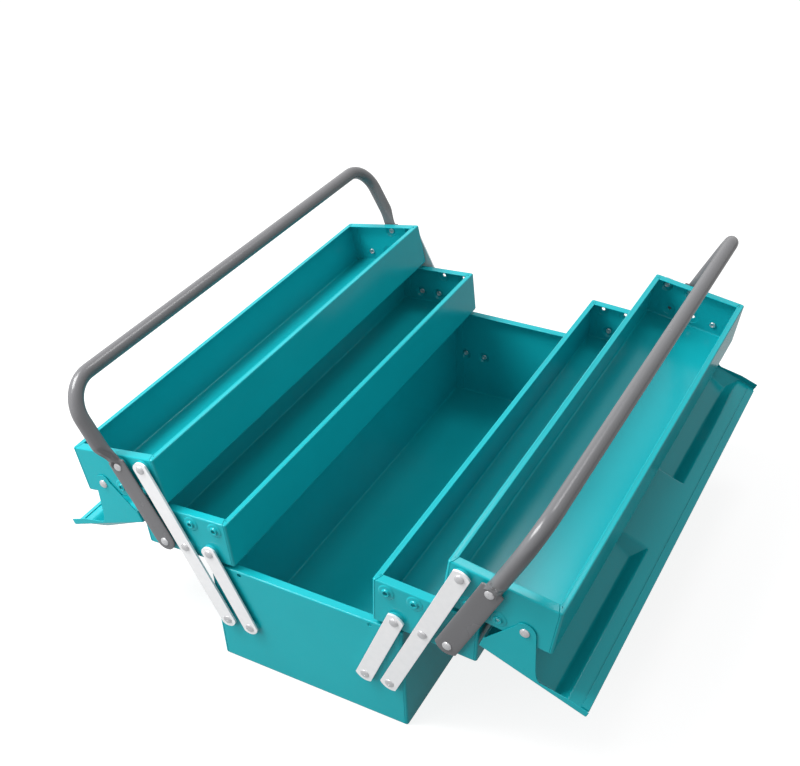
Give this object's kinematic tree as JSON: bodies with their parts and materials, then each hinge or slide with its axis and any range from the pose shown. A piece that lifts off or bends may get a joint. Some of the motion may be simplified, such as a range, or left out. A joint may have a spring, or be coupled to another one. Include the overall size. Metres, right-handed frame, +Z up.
{
  "type": "cantilever tool box",
  "caption": "Steel cantilever tool box: trays swing out on riveted links from a lower box, with hinged lids and a pair of tube handles.",
  "frame": {"origin": "centre of the lower box's underside", "axes": "+Z up, +Y along the box, +X across it; the trays swing out along +X and -X"},
  "size_m": [0.5296, 0.5282, 0.283],
  "materials": {
    "teal_enamel": "glossy enamel",
    "grey_enamel": "glossy enamel",
    "zinc_steel": "bright zinc plate",
    "rivet_steel": "satin"
  },
  "bodies": {
    "box": {"base_tub": "teal_enamel", "base_rivets": "rivet_steel"},
    "left_long_links": {"left_front_long_link": "zinc_steel", "left_back_long_link": "zinc_steel"},
    "left_short_links": {"left_front_short_link": "zinc_steel", "left_back_short_link": "zinc_steel"},
    "left_mid_tray": {"left_mid_tray": "teal_enamel", "left_mid_rivets": "rivet_steel"},
    "left_top_tray": {"left_top_tray": "teal_enamel", "left_top_rivets": "rivet_steel"},
    "left_handle": {"left_handle": "grey_enamel"},
    "left_lid_pivots": {"left_lid_rivets": "rivet_steel"},
    "left_lid": {"left_lid": "teal_enamel", "left_hasp": "teal_enamel"},
    "right_long_links": {"right_front_long_link": "zinc_steel", "right_back_long_link": "zinc_steel"},
    "right_short_links": {"right_front_short_link": "zinc_steel", "right_back_short_link": "zinc_steel"},
    "right_mid_tray": {"right_mid_tray": "teal_enamel", "right_mid_rivets": "rivet_steel"},
    "right_top_tray": {"right_top_tray": "teal_enamel", "right_top_rivets": "rivet_steel"},
    "right_handle": {"right_handle": "grey_enamel"},
    "right_lid_pivots": {"right_lid_rivets": "rivet_steel"},
    "right_lid": {"right_lid": "teal_enamel", "right_hasp": "teal_enamel"}
  },
  "joints": [
    {"name": "left_fold", "type": "hinge", "parent": "box", "child": "left_long_links", "pos_m": [-0.08572, 0, 0.0537], "axis": [0, 1, 0], "range_deg": [0, 50.21]},
    {"name": "left_short_link_turn", "type": "hinge", "parent": "box", "child": "left_short_links", "pos_m": [-0.06109, 0, 0.0537], "axis": [0, 1, 0], "range_deg": [0, 49.77]},
    {"name": "left_mid_tray_turn", "type": "hinge", "parent": "left_long_links", "child": "left_mid_tray", "pos_m": [-0.12079, 0, 0.12926], "axis": [0, 1, 0], "range_deg": [-46.53, 0]},
    {"name": "left_top_tray_turn", "type": "hinge", "parent": "left_long_links", "child": "left_top_tray", "pos_m": [-0.15614, 0, 0.20541], "axis": [0, 1, 0], "range_deg": [-40.53, 0]},
    {"name": "left_handle_turn", "type": "hinge", "parent": "left_mid_tray", "child": "left_handle", "pos_m": [-0.14374, 0, 0.12777], "axis": [0, 1, 0], "range_deg": [0, 47.19]},
    {"name": "left_lid_carry", "type": "hinge", "parent": "left_top_tray", "child": "left_lid_pivots", "pos_m": [-0.2097, 0, 0.16917], "axis": [0, 1, 0], "range_deg": [0, 91.41]},
    {"name": "left_lid_swing", "type": "hinge", "parent": "left_lid_pivots", "child": "left_lid", "pos_m": [-0.2097, 0, 0.16917], "axis": [0, 1, 0], "range_deg": [0, 98]},
    {"name": "right_fold", "type": "hinge", "parent": "box", "child": "right_long_links", "pos_m": [0.08572, 0, 0.0537], "axis": [0, -1, 0], "range_deg": [0, 50.21]},
    {"name": "right_short_link_turn", "type": "hinge", "parent": "box", "child": "right_short_links", "pos_m": [0.06109, 0, 0.0537], "axis": [0, -1, 0], "range_deg": [0, 49.77]},
    {"name": "right_mid_tray_turn", "type": "hinge", "parent": "right_long_links", "child": "right_mid_tray", "pos_m": [0.12079, 0, 0.12926], "axis": [0, -1, 0], "range_deg": [-46.53, 0]},
    {"name": "right_top_tray_turn", "type": "hinge", "parent": "right_long_links", "child": "right_top_tray", "pos_m": [0.15614, 0, 0.20541], "axis": [0, -1, 0], "range_deg": [-40.53, 0]},
    {"name": "right_handle_turn", "type": "hinge", "parent": "right_mid_tray", "child": "right_handle", "pos_m": [0.14374, 0, 0.12777], "axis": [0, -1, 0], "range_deg": [0, 47.19]},
    {"name": "right_lid_carry", "type": "hinge", "parent": "right_top_tray", "child": "right_lid_pivots", "pos_m": [0.2097, 0, 0.16917], "axis": [0, -1, 0], "range_deg": [0, 91.41]},
    {"name": "right_lid_swing", "type": "hinge", "parent": "right_lid_pivots", "child": "right_lid", "pos_m": [0.2097, 0, 0.16917], "axis": [0, -1, 0], "range_deg": [0, 98]}
  ],
  "couplings": [
    {"joint": "left_short_link_turn", "follows": "left_fold", "ratio": 0.99083},
    {"joint": "left_mid_tray_turn", "follows": "left_fold", "ratio": -0.92631},
    {"joint": "left_top_tray_turn", "follows": "left_fold", "ratio": -0.80683},
    {"joint": "left_handle_turn", "follows": "left_fold", "ratio": 0.93946},
    {"joint": "left_lid_carry", "follows": "left_fold", "ratio": 1.8202},
    {"joint": "right_short_link_turn", "follows": "right_fold", "ratio": 0.99083},
    {"joint": "right_mid_tray_turn", "follows": "right_fold", "ratio": -0.92631},
    {"joint": "right_top_tray_turn", "follows": "right_fold", "ratio": -0.80683},
    {"joint": "right_handle_turn", "follows": "right_fold", "ratio": 0.93946},
    {"joint": "right_lid_carry", "follows": "right_fold", "ratio": 1.8202}
  ]
}
